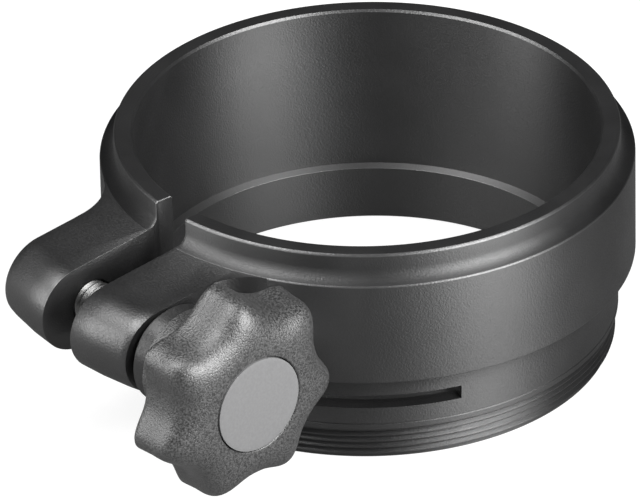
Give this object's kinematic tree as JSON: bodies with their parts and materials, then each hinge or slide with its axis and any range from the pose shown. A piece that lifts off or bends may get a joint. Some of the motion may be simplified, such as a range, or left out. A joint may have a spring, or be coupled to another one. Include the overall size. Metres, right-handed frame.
{
  "type": "digiscoping adapter clamp ring",
  "caption": "Split clamp ring that grips a telescope eyepiece, closed by a star-knob screw through its lugs, with a fine outside thread on its lower end for a camera.",
  "frame": {"origin": "middle of the underside of the whole adapter's box, in the plane of the thread end face", "axes": "+Z along the ring's axis from the thread end to the eyepiece end, -Y towards the lugs, +X along the clamp screw towards the knob"},
  "size_m": [0.0596, 0.079, 0.0295],
  "materials": {
    "anodised_ring": "fine satin black anodising",
    "bright_steel": "plain plated machine screw",
    "black_fibre": "dull black washer",
    "anodised_bush": "fine satin black anodising",
    "grained_plastic": "spark-grained moulded plastic",
    "gloss_cap": "smooth glossy moulded cap"
  },
  "bodies": {
    "ring": {"clamp_ring": "anodised_ring"},
    "washer": {"thrust_washer": "black_fibre"},
    "knob": {"star_knob": "grained_plastic", "knob_bush": "anodised_bush", "clamp_screw": "bright_steel", "knob_cap": "gloss_cap"}
  },
  "joints": [
    {"name": "knob_travel", "type": "slide", "parent": "ring", "child": "washer", "axis": [1, 0, 0], "range_m": [0, 0.0032]},
    {"name": "knob_turn", "type": "hinge", "parent": "washer", "child": "knob", "pos_m": [0, -0.02761, 0.0173], "axis": [1, 0, 0], "range_deg": [0, 1440]}
  ],
  "couplings": [
    {"joint": "knob_travel", "follows": "knob_turn", "m_per_rad": 0.0001273}
  ]
}
